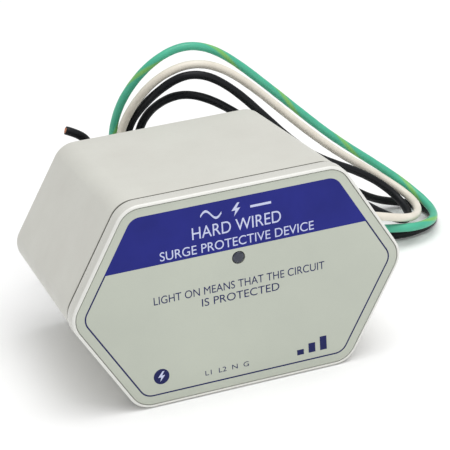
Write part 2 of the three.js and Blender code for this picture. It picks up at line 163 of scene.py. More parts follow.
def mesh_of(name, points, faces, sharp=35):
    """A mesh from points in millimetres, with its faces turned outwards and its sharp edges marked."""
    mesh = bpy.data.meshes.new(name)
    mesh.from_pydata([tuple(float(v) * MM for v in p) for p in points], [], faces)
    work = bmesh.new()
    work.from_mesh(mesh)
    bmesh.ops.remove_doubles(work, verts=work.verts, dist=1e-7)
    bmesh.ops.recalc_face_normals(work, faces=work.faces)
    work.to_mesh(mesh)
    work.free()
    mesh.shade_smooth()
    mesh.set_sharp_from_angle(angle=math.radians(sharp))
    return mesh


def skin(rings, loop=False):
    """Quads between rings of equally many points, which close on each other or are capped."""
    count = len(rings[0])
    points = [tuple(p) for ring in rings for p in ring]
    faces = []
    pairs = len(rings) if loop else len(rings) - 1
    for i in range(pairs):
        low, high = i * count, ((i + 1) % len(rings)) * count
        for j in range(count):
            k = (j + 1) % count
            faces.append((low + j, low + k, high + k, high + j))
    if not loop:
        faces.append(tuple(range(count)))
        faces.append(tuple((len(rings) - 1) * count + j for j in range(count)))
    return points, faces


def joined(parts):
    """One list of points and one of faces from several."""
    points, faces = [], []
    for some_points, some_faces in parts:
        shift = len(points)
        points.extend(some_points)
        faces.extend(tuple(i + shift for i in face) for face in some_faces)
    return points, faces


SLANT = math.atan2(HEIGHT / 2, (WIDTH - FLAT) / 2)
ARC_STEPS = 12
SIDE_STEPS = 6


def hexagon(inset):
    """Points (x, z) of the cover's outline, inset by a distance, anticlockwise from the right."""
    radius = max(CORNER_RADIUS - inset, 0.6)
    deep = inset + radius
    side = WIDTH / 2 - deep / math.sin(SLANT)
    flat = FLAT / 2 - deep * math.tan(SLANT / 2)
    high = HEIGHT / 2 - deep
    lean = math.pi / 2 - SLANT
    quarter = math.pi / 2
    corners = [
        (side, 0, -lean, lean),
        (flat, high, lean, quarter),
        (-flat, high, quarter, 2 * quarter - lean),
        (-side, 0, 2 * quarter - lean, 2 * quarter + lean),
        (-flat, -high, 2 * quarter + lean, 3 * quarter),
        (flat, -high, 3 * quarter, 4 * quarter - lean),
    ]
    corner_points = []
    for x, z, begin, end in corners:
        arc = [begin + (end - begin) * i / ARC_STEPS for i in range(ARC_STEPS + 1)]
        corner_points.append([(x + radius * math.cos(a), CENTRE_Z + z + radius * math.sin(a)) for a in arc])
    outline = []
    for i, arc in enumerate(corner_points):
        outline.extend(arc)
        ahead = corner_points[(i + 1) % len(corner_points)][0]
        for step in range(1, SIDE_STEPS):
            share = step / SIDE_STEPS
            outline.append(tuple(a + (b - a) * share for a, b in zip(arc[-1], ahead)))
    return outline


def hex_ring(inset, y, drafted=False):
    along = (y - BODY_FRONT_Y) / (REAR_Y - BODY_FRONT_Y) if drafted else 0
    narrow_x = 1 - along * BODY_DRAFT / math.sin(SLANT) / (WIDTH / 2)
    narrow_z = 1 - along * BODY_DRAFT / (HEIGHT / 2)
    return [(x * narrow_x, y, CENTRE_Z + (z - CENTRE_Z) * narrow_z) for x, z in hexagon(inset)]


def hole_ring(radius, y, z=CENTRE_Z):
    """A circle whose points lie in line with those of the hexagon, seen from its middle."""
    ring = []
    for x, height in hexagon(0):
        angle = math.atan2(height - z, x)
        ring.append((radius * math.cos(angle), y, z + radius * math.sin(angle)))
    return ring


EDGE_STEPS = 5


def edged(first, corner, last):
    """Points of a quarter round from first to last, which both lie level with the corner."""
    turned = []
    for i in range(EDGE_STEPS + 1):
        angle = math.pi / 2 * i / EDGE_STEPS
        turned.append(tuple(
            c + (f - c) * (1 - math.sin(angle)) + (t - c) * (1 - math.cos(angle))
            for f, c, t in zip(first, corner, last)))
    return turned


def lathe(profile, x=0, z=CENTRE_Z, steps=64, loop=False):
    """A round body on an axis along Y from (radius, y) points; a closed profile makes a ring."""
    rings = []
    for radius, y in profile:
        radius = max(radius, 0.0005)
        rings.append([(x + radius * math.cos(2 * math.pi * i / steps), y,
                       z + radius * math.sin(2 * math.pi * i / steps)) for i in range(steps)])
    return skin(rings, loop=loop)


# ---- materials ----


class Finish:
    """A node material whose colour, roughness and bump come from noise in the object's own space."""

    def __init__(self, name):
        self.material = bpy.data.materials.new(name)
        self.material.use_nodes = True
        self.tree = self.material.node_tree
        self.shader = self.tree.nodes["Principled BSDF"]
        self.place = self.tree.nodes.new("ShaderNodeTexCoord").outputs["Object"]

    def node(self, kind, inputs=None, **settings):
        made = self.tree.nodes.new(kind)
        for key, value in settings.items():
            setattr(made, key, value)
        for key, value in (inputs or {}).items():
            if isinstance(value, bpy.types.NodeSocket):
                self.tree.links.new(value, made.inputs[key])
            else:
                made.inputs[key].default_value = value
        return made

    def noise(self, scale, detail=3, rough=0.55, stretch=(1, 1, 1)):
        place = self.node("ShaderNodeMapping", {"Vector": self.place, "Scale": stretch}).outputs[0]
        return self.node("ShaderNodeTexNoise", {
            "Vector": place, "Scale": scale, "Detail": detail, "Roughness": rough}).outputs["Fac"]

    def spread(self, value, low, high, begin=0.0, end=1.0):
        return self.node("ShaderNodeMapRange", {
            "Value": value, "From Min": low, "From Max": high, "To Min": begin, "To Max": end}).outputs[0]

    def mix(self, share, first, second):
        made = self.node("ShaderNodeMix", data_type="RGBA")
        made.inputs["Factor"].default_value = 0
        self.tree.links.new(share, made.inputs["Factor"])
        for key, value in (("A", first), ("B", second)):
            socket = next(s for s in made.inputs if s.name == key and s.type == "RGBA")
            if isinstance(value, bpy.types.NodeSocket):
                self.tree.links.new(value, socket)
            else:
                socket.default_value = (*value, 1)
        return next(s for s in made.outputs if s.type == "RGBA")

    def bump(self, height, strength, depth, under=None):
        inputs = {"Height": height, "Strength": strength, "Distance": depth}
        if under is not None:
            inputs["Normal"] = under
        return self.node("ShaderNodeBump", inputs).outputs[0]

    def set(self, **values):
        for key, value in values.items():
            socket = self.shader.inputs[key.replace("_", " ")]
            if isinstance(value, bpy.types.NodeSocket):
                self.tree.links.new(value, socket)
            else:
                socket.default_value = value
        return self.material


def linear(red, green, blue):
    """A colour given in 0 to 255 as it looks, as the shader takes it."""
    scaled = [v / 255 for v in (red, green, blue)]
    return tuple(v / 12.92 if v <= 0.04045 else ((v + 0.055) / 1.055) ** 2.4 for v in scaled)


def moulded(name, colour, shade, rough=0.42, grain=2600, depth=0.00003, blotch=28, band=None):
    """Moulded plastic: faint clouds of colour, a fine spark-eroded grain and uneven gloss.

    A band (from y, to y, colour) paints a strip across the depth: painted shade in the joint where two
    mouldings meet, or a painted highlight along an edge.
    """
    f = Finish(name)
    clouds = f.spread(f.noise(blotch, 4, 0.6), 0.3, 0.7)
    specks = f.spread(f.noise(grain * 0.5, 2), 0.62, 0.78)
    tone = f.mix(clouds, colour, shade)
    surface_tone = f.mix(f.spread(specks, 0, 1, 0, 0.35), tone, tuple(v * 0.86 for v in shade))
    if band:
        begin, end, tint = band
        depth_back = f.node("ShaderNodeSeparateXYZ", {"Vector": f.place}).outputs["Y"]
        # Painted light: the band mixes painted shade or a painted highlight into the colour, by depth
        # alone.
        surface_tone = f.mix(f.spread(depth_back, begin * MM, end * MM), surface_tone, tint)
    gloss = f.spread(f.noise(blotch * 3, 3), 0.3, 0.7, rough - 0.05, rough + 0.07)
    grainy = f.bump(f.noise(grain, 2), 0.35, depth)
    uneven = f.bump(f.noise(blotch * 1.4, 2), 0.12, 0.0004, grainy)
    return f.set(Base_Color=surface_tone, Roughness=gloss, Normal=uneven)


def metal(name, colour, tint, rough=0.3, stretch=(1, 1, 1), scale=500):
    """Plated metal: drawn streaks, patches of duller plating and small pits."""
    f = Finish(name)
    patches = f.spread(f.noise(90, 4, 0.65), 0.35, 0.68)
    tone = f.mix(patches, colour, tint)
    gloss = f.spread(f.noise(scale, 3, 0.6, stretch), 0.3, 0.7, rough - 0.08, rough + 0.14)
    streaks = f.bump(f.noise(scale * 2, 3, 0.6, stretch), 0.25, 0.00003)
    return f.set(Base_Color=tone, Metallic=1.0, Roughness=gloss, Normal=streaks)


def rubbery(name, colour, shade, rough=0.75):
    f = Finish(name)
    tone = f.mix(f.spread(f.noise(160, 4), 0.3, 0.7), colour, shade)
    gloss = f.spread(f.noise(700, 2), 0.3, 0.7, rough - 0.1, rough + 0.1)
    return f.set(Base_Color=tone, Roughness=gloss, Normal=f.bump(f.noise(1800, 3), 0.4, 0.00005))


def printed(name, colour, shade):
    """Screen-printed ink with faint screen texture."""
    f = Finish(name)
    tone = f.mix(f.spread(f.noise(60, 3), 0.3, 0.7), colour, shade)
    gloss = f.spread(f.noise(300, 2), 0.3, 0.7, 0.34, 0.46)
    return f.set(Base_Color=tone, Roughness=gloss, Normal=f.bump(f.noise(3200, 1), 0.15, 0.00001),
                 Specular_IOR_Level=0.2)


def insulation(name, colour, shade, rough, sheen=0.5, stripe=None):
    """Wire insulation: long faint streaks, scuffs, and the slight waves of the strands below."""
    f = Finish(name)
    along = f.node("ShaderNodeAttribute", attribute_name="along").outputs["Fac"]
    streak_place = f.node("ShaderNodeCombineXYZ", {"X": along})
    streaks = f.node("ShaderNodeTexNoise", {
        "Vector": streak_place.outputs[0], "Scale": 130, "Detail": 3}).outputs["Fac"]
    tone = f.mix(f.spread(streaks, 0.3, 0.7), colour, shade)
    if stripe:
        band = f.node("ShaderNodeAttribute", attribute_name="stripe").outputs["Fac"]
        tone = f.mix(f.spread(band, 0.7, 0.98), tone, stripe)
    scuffs = f.spread(f.noise(420, 4, 0.7), 0.58, 0.72, 0, 0.3)
    surface_tone = f.mix(scuffs, tone, tuple(min(1, v * 1.25 + 0.006) for v in shade))
    gloss = f.spread(f.noise(240, 3), 0.3, 0.7, rough - 0.06, rough + 0.12)
    waves = f.bump(f.noise(900, 2), 0.2, 0.00004)
    return f.set(Base_Color=surface_tone, Roughness=gloss, Normal=waves, Specular_IOR_Level=sheen)


def lens(name, colour, shade):
    f = Finish(name)
    tone = f.mix(f.spread(f.noise(400, 3), 0.3, 0.7), colour, shade)
    gloss = f.spread(f.noise(600, 2), 0.3, 0.7, 0.08, 0.2)
    return f.set(Base_Color=tone, Roughness=gloss, Transmission_Weight=0.25, IOR=1.49)


def laminate():
    """Green solder mask over woven glass, with lighter copper runs below it."""
    f = Finish("board_laminate_look")
    weave = f.node("ShaderNodeTexWave", {
        "Vector": f.place, "Scale": 700, "Distortion": 0.4}, bands_direction="X").outputs["Fac"]
    cells = f.node("ShaderNodeTexVoronoi", {"Vector": f.place, "Scale": 160}, feature="DISTANCE_TO_EDGE")
    runs = f.spread(cells.outputs["Distance"], 0.05, 0.08)
    tone = f.mix(runs, (0.05, 0.24, 0.09), (0.02, 0.13, 0.05))
    gloss = f.spread(weave, 0, 1, 0.3, 0.42)
    return f.set(Base_Color=tone, Roughness=gloss, Normal=f.bump(weave, 0.2, 0.00003))


LOOKS = {
    # The housing's band is painted shade: a dark strip on the body's front face, in the groove behind the
    # cover.
    "housing": moulded("housing_look", linear(207, 207, 199), linear(200, 199, 191),
                       band=(BODY_FRONT_Y + 0.12, BODY_FRONT_Y + 0.02, linear(128, 127, 121))),
    # The cover's band is a painted highlight: a lighter strip over the rounding of its front edge and its
    # front rim.
    "cover": moulded("cover_look", linear(207, 207, 200), linear(201, 200, 193), rough=0.26,
                     band=(FRONT_Y + 0.9, FRONT_Y + 0.6, linear(224, 224, 219))),
    "label": moulded("label_look", linear(188, 193, 180), linear(182, 187, 175), rough=0.36,
                     grain=4200, depth=0.00001, blotch=20),
    "navy": printed("navy_ink", linear(30, 36, 128), linear(25, 31, 117)),
    "line": printed("line_ink", linear(26, 31, 88), linear(22, 27, 79)),
    "pale": printed("pale_ink", linear(205, 210, 236), linear(192, 198, 228)),
    "gasket": rubbery("gasket_look", linear(58, 58, 58), linear(46, 46, 47)),
    "lens": lens("window_look", linear(72, 77, 92), linear(56, 60, 74)),
    "led": lens("led_look", linear(120, 200, 140), linear(96, 180, 120)),
    "board": laminate(),
    "zinc": metal("zinc_look", (0.62, 0.63, 0.64), (0.5, 0.5, 0.49)),
    "thread": metal("thread_look", (0.6, 0.61, 0.62), (0.47, 0.47, 0.46), rough=0.26,
                    stretch=(1, 12, 1)),
    "tin": metal("tin_look", (0.68, 0.68, 0.66), (0.55, 0.55, 0.52), rough=0.25),
    "copper": metal("copper_look", (0.78, 0.36, 0.2), (0.62, 0.25, 0.13), rough=0.28, scale=1500),
    "washer": rubbery("washer_look", linear(44, 44, 46), linear(32, 32, 34)),
    "seal": moulded("seal_look", linear(52, 53, 58), linear(42, 43, 47), rough=0.3, grain=900),
    "varistor": moulded("varistor_look", linear(45, 96, 176), linear(36, 80, 154), rough=0.35, grain=900,
                        blotch=150),
    "fuse": moulded("fuse_look", linear(214, 204, 176), linear(200, 188, 158), grain=1500, blotch=200),
    "capacitor": moulded("capacitor_look", linear(200, 162, 44), linear(184, 146, 36), rough=0.36,
                         grain=1500, blotch=120),
    "resistor": moulded("resistor_look", linear(202, 178, 138), linear(188, 162, 120), grain=1500,
                        blotch=300),
    "black": insulation("black_lead_look", linear(17, 20, 24), linear(12, 14, 18), 0.4, 0.22),
    "white": insulation("white_lead_look", linear(230, 224, 211), linear(219, 212, 198), 0.34),
    "green": insulation("green_lead_look", linear(74, 182, 148), linear(63, 168, 137), 0.34,
                        stripe=linear(118, 184, 98)),
}


def add(name, mesh, look, body="housing", stands_for=()):
    piece = link(name, mesh)
    piece.data.materials.clear()
    piece.data.materials.append(LOOKS[look])
    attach(piece, body)
    if stands_for:
        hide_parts(*stands_for)
    return piece


# ---- wires ----

LEADS = {
    "ground_lead": ("green", (-LEAD_SPACING, -LEAD_SPACING), [
        (-3, 51.2, 36.5), (-3, 58, 36.5), (-3, 68, 37.5), (-4, 77, 45), (-3, 79, 57), (0, 75.5, 69.5),
        (5.5, 70, 80.5), (13.5, 66.5, 89), (26, 66, 93.5), (40, 66, 89), (56, 66, 74), (72, 66, 58),
        (88, 66, 42), (104, 66.5, 29), (118.5, 63, 17), (125.5, 48, 9), (120, 33, 9.5), (106, 26.5, 11),
        (90, 31, 13), (72, 38, 11), (54, 43, 7.5), (36, 45, 6.5), (18, 46, 6), (2, 48, 6), (-12, 56, 6),
        (-17, 69, 6.5), (-11, 83, 7), (3, 91, 7.5), (20, 92, 7.5), (39, 90, 7.5),
    ]),
    "neutral_lead": ("white", (-LEAD_SPACING, LEAD_SPACING), [
        (-3, 51.2, 42.5), (-3, 57.5, 42.5), (-3, 65.5, 42.5), (-3, 72.5, 46.5), (-1.5, 75.5, 54.5),
        (1.5, 73.5, 64), (6, 67, 74.5), (13, 62, 83), (25, 60, 87.5), (38, 60, 84), (51, 60, 73.5),
        (64, 60, 60), (78, 60, 46), (92, 62, 33.5), (106, 64, 23), (115.5, 57.5, 15.5), (118.5, 46, 12),
        (111, 32.5, 12), (94.5, 25.5, 19), (77, 28.5, 23), (61, 35, 18.5), (45, 39, 12.5), (28, 40, 8),
        (11, 40, 6), (-5, 42, 6), (-18, 50, 6), (-24, 64, 6.5), (-22, 79, 7), (-12, 91, 7.5), (3, 97, 7.5),
        (19, 98, 7.5), (34, 97, 7.5), (47, 95, 7.5),
    ]),
    "line_lead_1": ("black", (LEAD_SPACING, -LEAD_SPACING), [
        (3, 51.2, 36.5), (3, 58, 36.5), (3, 68, 37.5), (2, 77, 46), (3, 78, 58), (8, 71, 68.5),
        (12.5, 61.5, 77.5), (21, 57, 84), (32, 55, 83), (46, 55, 71), (60, 55, 54), (75.5, 55, 38.5),
        (91, 57.5, 30.5), (105, 59.5, 21.5), (113.5, 54.5, 13), (113.5, 43, 9), (105.5, 34.5, 11),
        (92.5, 33, 19.5), (78.5, 34.5, 30), (64, 38, 40.5), (46, 42, 50), (24, 44, 57), (2, 44, 60),
        (-20, 45, 57), (-33, 49, 43), (-37, 57, 25), (-31, 65, 13), (-19, 69, 11.5), (-7, 68, 9.5),
        (5, 66, 7.5), (17, 64, 7),
    ]),
    "line_lead_2": ("black", (LEAD_SPACING, LEAD_SPACING), [
        (3, 51.2, 42.5), (3, 58, 42.5), (3, 67.5, 43), (5.5, 75.5, 50.5), (9.5, 77, 61), (15, 68, 70.5),
        (23, 61, 75), (34, 57, 71), (47, 58, 60.5), (60, 59, 48), (74, 60, 35), (89, 61.5, 22.5),
        (101, 63, 13.5), (111, 65.5, 8), (121.5, 64, 6), (127.5, 54.5, 5.5), (125, 43, 5.4),
        (115, 36, 5.4), (103.5, 34.5, 5.4), (94, 39.5, 5.5), (89.5, 52, 6), (86.5, 68, 6.5), (76, 83, 7),
        (58, 90, 7.5), (40, 84, 7.5), (25, 78, 8.5), (8, 77, 10), (-9, 78, 13.5), (-24, 77, 21),
        (-29, 72, 34), (-25, 66, 46), (-19, 60, 57), (-20, 50.5, 67.5), (-30, 52, 71.8),
    ]),
}

LEAD_RINGS = 330
LEAD_SIDES = 18
STRIPE_PITCH = 36
STRIPE_PHASE = -0.47
COPPER_RADIUS = 1.17
CUT_DEPTH = 0.7
STRAND_RADIUS = 0.23


def smooth_route(route, count):
    """Points evenly spaced along the clamped cubic B-spline that the route's points shape."""
    control = np.array(route, float)
    degree = 3
    n = len(control)
    knots = np.clip(np.arange(n + degree + 1) - degree, 0, n - degree).astype(float)
    at = np.linspace(0, n - degree, 6000)
    at[-1] -= 1e-9
    basis = [((knots[i] <= at) & (at < knots[i + 1])).astype(float) for i in range(n + degree)]
    for d in range(1, degree + 1):
        step = []
        for i in range(n + degree - d):
            left, right = knots[i + d] - knots[i], knots[i + d + 1] - knots[i + 1]
            rise = (at - knots[i]) / left * basis[i] if left else 0
            fall = (knots[i + d + 1] - at) / right * basis[i + 1] if right else 0
            step.append(rise + fall)
        basis = step
    fine = sum(np.outer(b, p) for b, p in zip(basis, control))
    along = np.concatenate([[0], np.cumsum(np.linalg.norm(np.diff(fine, axis=0), axis=1))])
    even = np.linspace(0, along[-1], count)
    return np.stack([np.interp(even, along, fine[:, i]) for i in range(3)], 1), even


def frames_along(path):
    """Two axes across the path at each point, carried along it without twist."""
    tangents = np.gradient(path, axis=0)
    tangents /= np.linalg.norm(tangents, axis=1)[:, None]
    across = np.array((0.0, 0.0, 1.0))
    firsts = []
    for tangent in tangents:
        across = across - tangent * (across @ tangent)
        across /= np.linalg.norm(across)
        firsts.append(across)
    firsts = np.array(firsts)
    return tangents, firsts, np.cross(tangents, firsts)


def wire_mesh(name, route):
    """A round wire along a route. Its far end shows the insulation's cut edge."""
    path, even = smooth_route(route, LEAD_RINGS)
    tangents, firsts, seconds = frames_along(path)
    turns = np.linspace(0, 2 * math.pi, LEAD_SIDES, endpoint=False)
    last = LEAD_RINGS - 1
    radii = []
    for i in range(last):
        unevenness = 0.02 * math.sin(even[i] * 0.37) + 0.015 * math.sin(even[i] * 0.91 + 1)
        radii.append((i, LEAD_RADIUS + unevenness, 0))
    radii += [(last, LEAD_RADIUS, -0.15), (last, LEAD_RADIUS - 0.12, 0),
              (last, COPPER_RADIUS + 0.08, 0), (last, COPPER_RADIUS + 0.03, -CUT_DEPTH)]
    rings, marks, stations = [], [], []
    for i, radius, shift in radii:
        middle = path[i] + tangents[i] * shift
        ring = [middle + (firsts[i] * math.cos(t) + seconds[i] * math.sin(t)) * radius for t in turns]
        rings.append(ring)
        stations.extend([even[i] * MM] * LEAD_SIDES)
        marks.extend(math.cos(t - 2 * math.pi * even[i] / STRIPE_PITCH - STRIPE_PHASE) for t in turns)
    points, faces = skin(rings)
    mesh = bpy.data.meshes.new(name)
    mesh.from_pydata([tuple(p * MM) for p in np.array(points)], [], faces)
    for key, values in (("stripe", marks), ("along", stations)):
        mesh.attributes.new(key, "FLOAT", "POINT").data.foreach_set("value", values)
    work = bmesh.new()
    work.from_mesh(mesh)
    bmesh.ops.recalc_face_normals(work, faces=work.faces)
    work.to_mesh(mesh)
    work.free()
    mesh.shade_smooth()
    mesh.set_sharp_from_angle(angle=math.radians(40))
    return mesh, path, (path[-1], tangents[-1], firsts[-1], seconds[-1])


def strands_mesh(name, end):
    """The cut copper strands in a lead's end: one, six and twelve round each other."""
    middle, tangent, first, second = end
    places = [(0.0, 0.0)]
    for around, radius in ((6, 0.47), (12, 0.93)):
        places += [(radius * math.cos(2 * math.pi * i / around + radius),
                    radius * math.sin(2 * math.pi * i / around + radius)) for i in range(around)]
    parts = []
    for index, (u, v) in enumerate(places):
        proud = 0.15 + 0.12 * math.sin(index * 2.4)
        axis = middle + first * u + second * v
        rings = []
        for reach, radius in ((-CUT_DEPTH - 0.3, STRAND_RADIUS), (proud - 0.05, STRAND_RADIUS),
                              (proud, STRAND_RADIUS * 0.75)):
            rings.append([axis + tangent * reach + (first * math.cos(t) + second * math.sin(t)) * radius
                          for t in np.linspace(0, 2 * math.pi, 10, endpoint=False)])
        parts.append(skin(rings))
    return mesh_of(name, *joined(parts))


for lead_name, (look, (side, rise), route) in LEADS.items():
    mesh, path, end = wire_mesh(lead_name + "_wire", route)
    wire = add(lead_name + "_wire", mesh, look, stands_for=[lead_name])
    strands = add(lead_name + "_strands", strands_mesh(lead_name + "_strands", end), "copper")

# ---- housing ----


def body_mesh():
    """The rear shell, closed all round: outside, rear face, nipple hole, inside."""
    outlet = NIPPLE_RADIUS + GAP
    inner = BODY_INSET + BODY_WALL
    seat_y = REAR_Y + SEAT_HEIGHT
    profile = edged((BODY_INSET + BODY_FRONT_EDGE, BODY_FRONT_Y), (BODY_INSET, BODY_FRONT_Y),
                    (BODY_INSET, BODY_FRONT_Y + BODY_FRONT_EDGE))
    for share in (0.2, 0.4, 0.6, 0.8):
        profile.append((BODY_INSET, BODY_FRONT_Y + (REAR_Y - BODY_FRONT_Y) * share))
    profile += edged((BODY_INSET, REAR_Y - REAR_EDGE), (BODY_INSET, REAR_Y),
                     (BODY_INSET + REAR_EDGE, REAR_Y))
    rings = [hex_ring(inset, y, True) for inset, y in profile]
    for radius, y in ((SEAT_RADIUS + 6, REAR_Y), (SEAT_RADIUS + 0.3, REAR_Y),
                      (SEAT_RADIUS + 0.1, REAR_Y + SEAT_HEIGHT * 0.7), (SEAT_RADIUS - 0.3, seat_y),
                      (outlet + 0.4, seat_y), (outlet, seat_y - 0.4),
                      (outlet, REAR_Y - REAR_WALL + 0.3), (outlet + 0.3, REAR_Y - REAR_WALL)):
        rings.append(hole_ring(radius, y))
    fillet = 1.5
    inside = edged((inner + fillet, REAR_Y - REAR_WALL), (inner, REAR_Y - REAR_WALL),
                   (inner, REAR_Y - REAR_WALL - fillet))
    inside += [(inner, 0), (inner, BODY_FRONT_Y + 0.3), (inner - 0.3, BODY_FRONT_Y)]
    rings += [hex_ring(inset, y, True) for inset, y in inside]
    return mesh_of("housing_shell", *skin(rings, loop=True))


def cover_mesh():
    """The front cover, closed all round, with its locating rim and four screw posts."""
    inner_y = FRONT_Y + RECESS_DEPTH + COVER_WALL
    rim_y = COVER_BACK_Y + RIM_REACH
    floor_y = FRONT_Y + RECESS_DEPTH
    outside = [(COVER_BACK_EDGE + 0.3, COVER_BACK_Y)]
    outside += edged((COVER_BACK_EDGE, COVER_BACK_Y), (0, COVER_BACK_Y),
                     (0, COVER_BACK_Y - COVER_BACK_EDGE))
    outside += edged((0, FRONT_Y + COVER_EDGE), (0, FRONT_Y), (COVER_EDGE, FRONT_Y))
    outside += [(RECESS_INSET, FRONT_Y + 0.08), (RECESS_INSET + 0.02, floor_y - 0.1),
                (RECESS_INSET + 0.12, floor_y)]
    rings = [hex_ring(inset, y) for inset, y in outside]
    rings += [hole_ring(30, floor_y), hole_ring(LENS_HOLE, floor_y, WINDOW_Z),
              hole_ring(LENS_HOLE, inner_y, WINDOW_Z), hole_ring(28, inner_y)]
    inside = [(RIM_INSET + RIM_WALL + 0.6, inner_y), (RIM_INSET + RIM_WALL, inner_y + 0.6),
              (RIM_INSET + RIM_WALL, rim_y - 0.2), (RIM_INSET + RIM_WALL - 0.2, rim_y),
              (RIM_INSET + 0.6, rim_y), (RIM_INSET, rim_y - 1), (RIM_INSET, COVER_BACK_Y + 0.3),
              (RIM_INSET - 0.3, COVER_BACK_Y)]
    rings += [hex_ring(inset, y) for inset, y in inside]
    parts = [skin(rings, loop=True)]
    for x, z in POSTS:
        top = BOARD_FRONT_Y - GAP
        parts.append(lathe([
            (POST_RADIUS + 0.8, inner_y - 0.4), (POST_RADIUS, inner_y + 1), (POST_RADIUS, top - 0.2),
            (POST_RADIUS - 0.2, top), (PILOT_RADIUS + 0.3, top), (PILOT_RADIUS, top - 0.3),
            (PILOT_RADIUS, BOARD_FRONT_Y - PILOT_DEPTH), (0, BOARD_FRONT_Y - PILOT_DEPTH),
            (0, inner_y - 0.4)], x, z, 32))
    return mesh_of("cover_shell", *joined(parts))


def label_mesh():
    """The printed overlay: a thin sheet with a slightly rounded edge and a hole for the window."""
    inset = RECESS_INSET + GAP
    back_y = LABEL_Y + LABEL_THICKNESS
    edge = 0.1
    burr = 0.06
    rings = [hex_ring(inset, back_y), hex_ring(inset, LABEL_Y + edge),
             hex_ring(inset + edge * 0.3, LABEL_Y + edge * 0.3), hex_ring(inset + edge, LABEL_Y),
             hole_ring(30, LABEL_Y), hole_ring(LENS_HOLE + burr, LABEL_Y, WINDOW_Z),
             hole_ring(LENS_HOLE, LABEL_Y + burr, WINDOW_Z), hole_ring(LENS_HOLE, back_y, WINDOW_Z)]
    return mesh_of("label_plate", *skin(rings, loop=True))


add("housing_shell", body_mesh(), "housing", stands_for=["housing_body"])
add("cover_shell", cover_mesh(), "cover", stands_for=["front_cover"])
add("label_plate", label_mesh(), "label", stands_for=["front_label"])

# ---- print on the label ----


def flat_print(points):
    """A thin printed patch from its outline (x, z)."""
    rings = [[(x, LABEL_Y - INK, z) for x, z in points], [(x, LABEL_Y + INK, z) for x, z in points]]
    return skin(rings)


def header_outline():
    """The part of the border's outline above the header's lower edge."""
    outline = hexagon(BORDER_INSET)
    kept = []
    for i, (x, z) in enumerate(outline):
        ahead_x, ahead_z = outline[(i + 1) % len(outline)]
        if z >= HEADER_Z:
            kept.append((x, z))
        if (z - HEADER_Z) * (ahead_z - HEADER_Z) < 0:
            share = (HEADER_Z - z) / (ahead_z - z)
            kept.append((x + (ahead_x - x) * share, HEADER_Z))
    return kept


def border_band():
    outer, inner = hexagon(BORDER_INSET), hexagon(BORDER_INSET + BORDER_WIDTH)
    rings = [[(x, y, z) for x, z in outline]
             for outline, y in ((outer, LABEL_Y - INK * 0.7), (outer, LABEL_Y + INK),
                                (inner, LABEL_Y + INK), (inner, LABEL_Y - INK * 0.7))]
    return skin(rings, loop=True)


def lettering(text, x, baseline, width, cap, lift=0.0):
    """Generic wording in the built-in typeface, fitted to a width and a capital height."""
    curve = bpy.data.curves.new("lettering", "FONT")
    curve.body = text
    curve.align_x = "CENTER"
    curve.extrude = 0.001
    holder = link("lettering", curve)
    bpy.context.view_layer.update()
    shape = holder.evaluated_get(bpy.context.evaluated_depsgraph_get())
    mesh = bpy.data.meshes.new_from_object(shape)
    places = np.zeros(len(mesh.vertices) * 3)
    mesh.vertices.foreach_get("co", places)
    places = places.reshape(-1, 3)
    low, high = places.min(0), places.max(0)
    tall = max(high[1], 1e-6)
    out = [(x + (p[0] - (low[0] + high[0]) / 2) * width / (high[0] - low[0]),
            LABEL_Y - lift - (INK if p[2] > 0 else -INK / 2), baseline + p[1] * cap / tall) for p in places]
    faces = [tuple(polygon.vertices) for polygon in mesh.polygons]
    bpy.data.objects.remove(holder)
    bpy.data.meshes.remove(mesh)
    return out, faces


def raised(points, lift):
    """The same print, lying on the header's ink."""
    shapes, faces = flat_print(points)
    return [(x, y - lift, z) for x, y, z in shapes], faces


def bolt(x, z, size):
    """A lightning bolt, the common sign for a surge."""
    corners = [(0.12, 0.5), (-0.34, -0.06), (-0.04, -0.06), (-0.16, -0.5),
               (0.34, 0.1), (0.04, 0.1), (0.3, 0.5)]
    return [(x + u * size, z + v * size) for u, v in corners]


def wave(x, z, width, height, thick, steps=40):
    """One period of an alternating voltage."""
    upper, lower = [], []
    for i in range(steps + 1):
        share = i / steps
        middle = z + math.sin(2 * math.pi * share) * height / 2
        upper.append((x + (share - 0.5) * width, middle + thick / 2))
        lower.append((x + (share - 0.5) * width, middle - thick / 2))
    return upper + lower[::-1]


def slab(x, z, width, height):
    left, right = x - width / 2, x + width / 2
    return [(left, z), (right, z), (right, z + height), (left, z + height)]


SIGN_Z = 70
SIGN_SPACING = 9.5
SIGN_WIDTH = 8
SIGN_STROKE = 0.9
BADGE_X = -32.2
BADGE_Z = 11.6
BADGE_RADIUS = 3

header_parts = [
    raised(wave(-SIGN_SPACING, SIGN_Z, SIGN_WIDTH, 3.2, SIGN_STROKE), INK),
    raised(bolt(0, SIGN_Z, 5), INK),
    raised(slab(SIGN_SPACING, SIGN_Z - SIGN_STROKE / 2, SIGN_WIDTH, SIGN_STROKE), INK),
    lettering("HARD WIRED", 0, 61.8, 34, 4.5, INK),
    lettering("SURGE PROTECTIVE DEVICE", 0, 56.2, 59, 3.4, INK),
]
lower_parts = [
    lettering("LIGHT ON MEANS THAT THE CIRCUIT", 0, 39.9, 66, 3.0),
    lettering("IS PROTECTED", 0, 35.4, 30, 3.0),
    lettering("L1  L2  N  G", -7, 7.9, 17, 1.9),
]
badge = [(BADGE_X + BADGE_RADIUS * math.cos(a), BADGE_Z + BADGE_RADIUS * math.sin(a))
         for a in np.linspace(0, 2 * math.pi, 40, endpoint=False)]
bars = [flat_print(slab(22 + 4.6 * i, 7.5, 2.7, 2.1 + 1.7 * i)) for i in range(3)]

add("label_header", mesh_of("label_header", *flat_print(header_outline())), "navy")
add("label_border", mesh_of("label_border", *border_band()), "line")
add("label_header_print", mesh_of("label_header_print", *joined(header_parts)), "pale")
lower_print = joined([*lower_parts, flat_print(badge), *bars])
add("label_lower_print", mesh_of("label_lower_print", *lower_print), "line")
add("label_badge_print", mesh_of("label_badge_print", *raised(bolt(BADGE_X, BADGE_Z, 4), INK)), "pale")

# ---- status window ----


